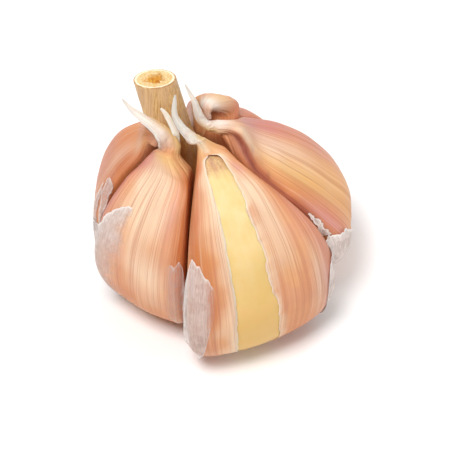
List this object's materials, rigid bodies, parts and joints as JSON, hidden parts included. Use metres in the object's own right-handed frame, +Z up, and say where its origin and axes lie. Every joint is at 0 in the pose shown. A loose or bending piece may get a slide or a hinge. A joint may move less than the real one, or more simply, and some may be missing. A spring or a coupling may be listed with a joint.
{
  "type": "garlic bulb",
  "caption": "Hardneck garlic bulb: cloves in papery skins packed round a cut stem on a trimmed root plate, with a front clove's skin split open over pale flesh.",
  "frame": {"origin": "middle of the flat callus under the root plate, on which the bulb stands", "axes": "+Z up, the way the stem leaves the root plate; -Y towards the two large front cloves; +X towards the large clove on the right"},
  "size_m": [0.0527, 0.0575, 0.0501],
  "materials": {
    "clove_skin": "dry, satin, finely veined",
    "clove_flesh": "smooth, slightly waxy",
    "stem": "dry, finely ribbed",
    "root_plate": "rough, corky",
    "wrapper": "thin, dry, papery"
  },
  "bodies": {
    "root": {"root_plate": "root_plate", "stem": "stem", "stem_sheath": "wrapper", "clove_front_left": "clove_skin", "clove_front_right_skin": "clove_skin", "clove_front_right_flesh": "clove_flesh", "clove_right": "clove_skin", "clove_back": "clove_skin", "clove_back_left": "clove_skin", "clove_left": "clove_skin", "wrapper_left": "wrapper", "wrapper_front": "wrapper", "wrapper_right": "wrapper", "wrapper_back": "wrapper"}
  },
  "joints": []
}
